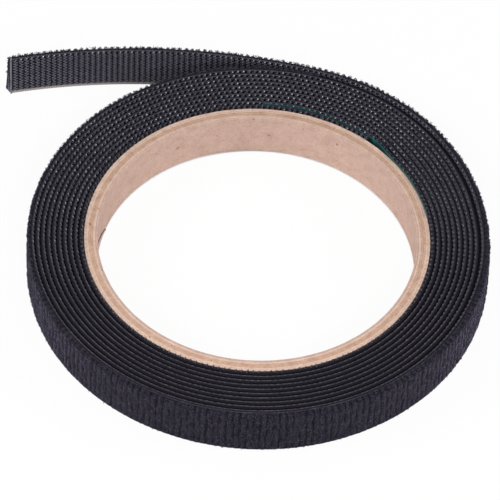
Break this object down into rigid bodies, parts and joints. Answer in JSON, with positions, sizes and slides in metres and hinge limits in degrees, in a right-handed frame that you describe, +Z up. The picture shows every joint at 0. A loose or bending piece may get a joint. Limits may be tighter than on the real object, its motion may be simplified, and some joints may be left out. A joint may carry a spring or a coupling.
{
  "type": "hook and loop tape roll",
  "caption": "Roll of back-to-back hook and loop tape wound on a paperboard core, its free end lifted and able to bend onto the roll or peel away from it.",
  "frame": {"origin": "on the surface the roll stands on, in the middle of the footprint of roll and free end together; the roll's own axis stands at x 3.94 mm, y -2.42 mm", "axes": "+Z up along the roll's axis; +X along the longer side of the footprint, with the free end leading off towards -X at the +Y side"},
  "size_m": [0.117, 0.1134, 0.0125],
  "materials": {
    "core_liner_paper": "matte",
    "core_board": "matte",
    "core_wrap_paper": "matte",
    "starter_film": "satin",
    "hook_tape": "satin",
    "loop_tape": "matte"
  },
  "bodies": {
    "roll": {"core_inner_liner": "core_liner_paper", "core_ply_1": "core_board", "core_ply_2": "core_board", "core_ply_3": "core_board", "core_ply_4": "core_board", "core_outer_wrap": "core_wrap_paper", "starter_film": "starter_film", "hook_tape_wound": "hook_tape", "loop_tape_wound": "loop_tape"},
    "tail_1": {"hook_tape_tail_1": "hook_tape", "loop_tape_tail_1": "loop_tape"},
    "tail_2": {"hook_tape_tail_2": "hook_tape", "loop_tape_tail_2": "loop_tape"},
    "tail_3": {"hook_tape_tail_3": "hook_tape", "loop_tape_tail_3": "loop_tape"},
    "tail_4": {"hook_tape_tail_4": "hook_tape", "loop_tape_tail_4": "loop_tape"},
    "tail_5": {"hook_tape_tail_5": "hook_tape", "loop_tape_tail_5": "loop_tape"},
    "tail_6": {"hook_tape_tail_6": "hook_tape", "loop_tape_tail_6": "loop_tape"}
  },
  "joints": [
    {"name": "peel_hinge", "type": "hinge", "parent": "roll", "child": "tail_1", "pos_m": [0.01742, 0.05167, 0.00625], "axis": [0, 0, 1], "range_deg": [-10, 4.2], "stiffness_Nm_per_rad": 0.004},
    {"name": "tail_bend_2", "type": "hinge", "parent": "tail_1", "child": "tail_2", "pos_m": [0.00492, 0.05423, 0.00625], "axis": [0, 0, 1], "range_deg": [-20, 8.4], "stiffness_Nm_per_rad": 0.004},
    {"name": "tail_bend_3", "type": "hinge", "parent": "tail_2", "child": "tail_3", "pos_m": [-0.00775, 0.05572, 0.00625], "axis": [0, 0, 1], "range_deg": [-20, 8.4], "stiffness_Nm_per_rad": 0.004},
    {"name": "tail_bend_4", "type": "hinge", "parent": "tail_3", "child": "tail_4", "pos_m": [-0.0205, 0.05614, 0.00625], "axis": [0, 0, 1], "range_deg": [-20, 8.4], "stiffness_Nm_per_rad": 0.004},
    {"name": "tail_bend_5", "type": "hinge", "parent": "tail_4", "child": "tail_5", "pos_m": [-0.03324, 0.05547, 0.00625], "axis": [0, 0, 1], "range_deg": [-20, 8.4], "stiffness_Nm_per_rad": 0.004},
    {"name": "tail_bend_6", "type": "hinge", "parent": "tail_5", "child": "tail_6", "pos_m": [-0.04588, 0.05372, 0.00625], "axis": [0, 0, 1], "range_deg": [-20, 8.4], "stiffness_Nm_per_rad": 0.004}
  ],
  "couplings": [
    {"joint": "tail_bend_2", "follows": "peel_hinge", "ratio": 2},
    {"joint": "tail_bend_3", "follows": "peel_hinge", "ratio": 2},
    {"joint": "tail_bend_4", "follows": "peel_hinge", "ratio": 2},
    {"joint": "tail_bend_5", "follows": "peel_hinge", "ratio": 2},
    {"joint": "tail_bend_6", "follows": "peel_hinge", "ratio": 2}
  ]
}
